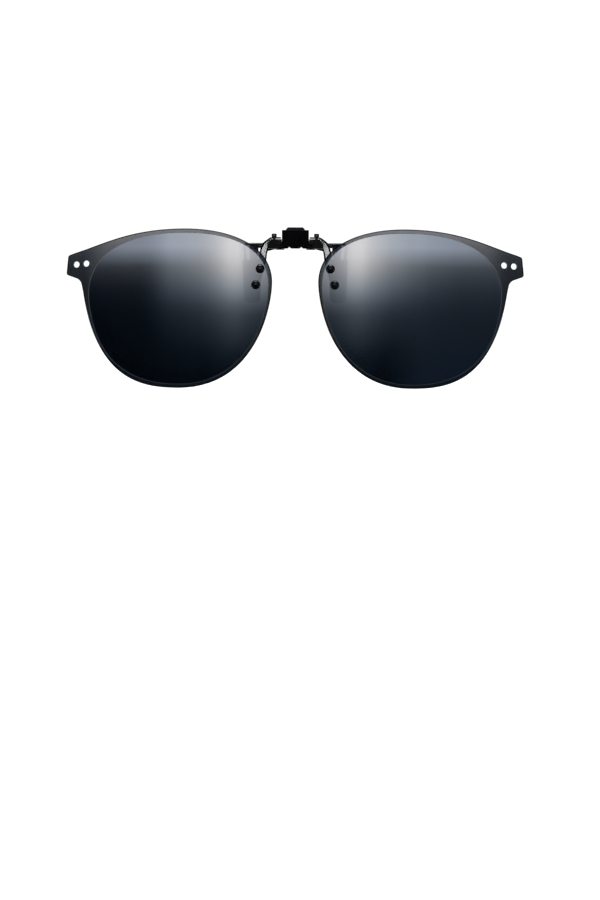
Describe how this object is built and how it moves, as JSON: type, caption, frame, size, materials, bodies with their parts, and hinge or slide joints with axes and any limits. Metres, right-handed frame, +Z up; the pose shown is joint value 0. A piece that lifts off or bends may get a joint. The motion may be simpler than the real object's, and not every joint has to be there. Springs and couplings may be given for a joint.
{
  "type": "clip-on flip lenses",
  "caption": "Dark clip-on lens pair that hinges up in front of spectacles, held at the nose by a sprung clip with padded jaws and a press tab.",
  "frame": {"origin": "middle of the grip: on the symmetry plane, on the closing face between the front and rear pads, half way down the pads", "axes": "+X to the right seen from the front, -Y towards the front, away from the wearer's face, +Z up as worn"},
  "size_m": [0.1432, 0.0109, 0.0505],
  "materials": {
    "black_nickel": "polished black nickel plate",
    "black_plate": "satin black",
    "steel": "satin",
    "black_rubber": "matt, ribbed",
    "dark_lens": "polished, dark grey in front, blue-violet coated behind",
    "smoke_rubber": "smooth, smoky",
    "black_gloss": "gloss black"
  },
  "bodies": {
    "clip_base": {"bridge_body": "black_plate", "hinge_cover": "black_plate", "detent_spring": "steel", "front_wire_left": "black_nickel", "front_wire_right": "black_nickel", "front_pad_left": "black_rubber", "front_pad_right": "black_rubber", "clamp_axle": "steel", "clamp_spring_left": "steel", "clamp_spring_right": "steel"},
    "flip_frame": {"flip_axle": "steel", "flip_knuckle_left": "black_plate", "flip_knuckle_right": "black_plate", "arm_screw_left": "black_nickel", "arm_screw_right": "black_nickel", "lens_arm_left": "black_nickel", "lens_arm_right": "black_nickel", "lens_left": "dark_lens", "lens_right": "dark_lens", "rivet_upper_left": "black_gloss", "rivet_upper_right": "black_gloss", "rivet_lower_left": "black_gloss", "rivet_lower_right": "black_gloss"},
    "rear_jaw": {"press_lever": "black_plate", "rear_blade_left": "steel", "rear_blade_right": "steel", "rear_pad_left": "smoke_rubber", "rear_pad_right": "smoke_rubber"}
  },
  "joints": [
    {"name": "flip", "type": "hinge", "parent": "clip_base", "child": "flip_frame", "pos_m": [0, -0.00545, 0.0115], "axis": [-1, 0, 0], "range_deg": [0, 90]},
    {"name": "clamp", "type": "hinge", "parent": "clip_base", "child": "rear_jaw", "pos_m": [0, 0.00125, 0.0116], "axis": [1, 0, 0], "range_deg": [0, 25], "stiffness_Nm_per_rad": 0.02, "springref_deg": -34.38}
  ]
}
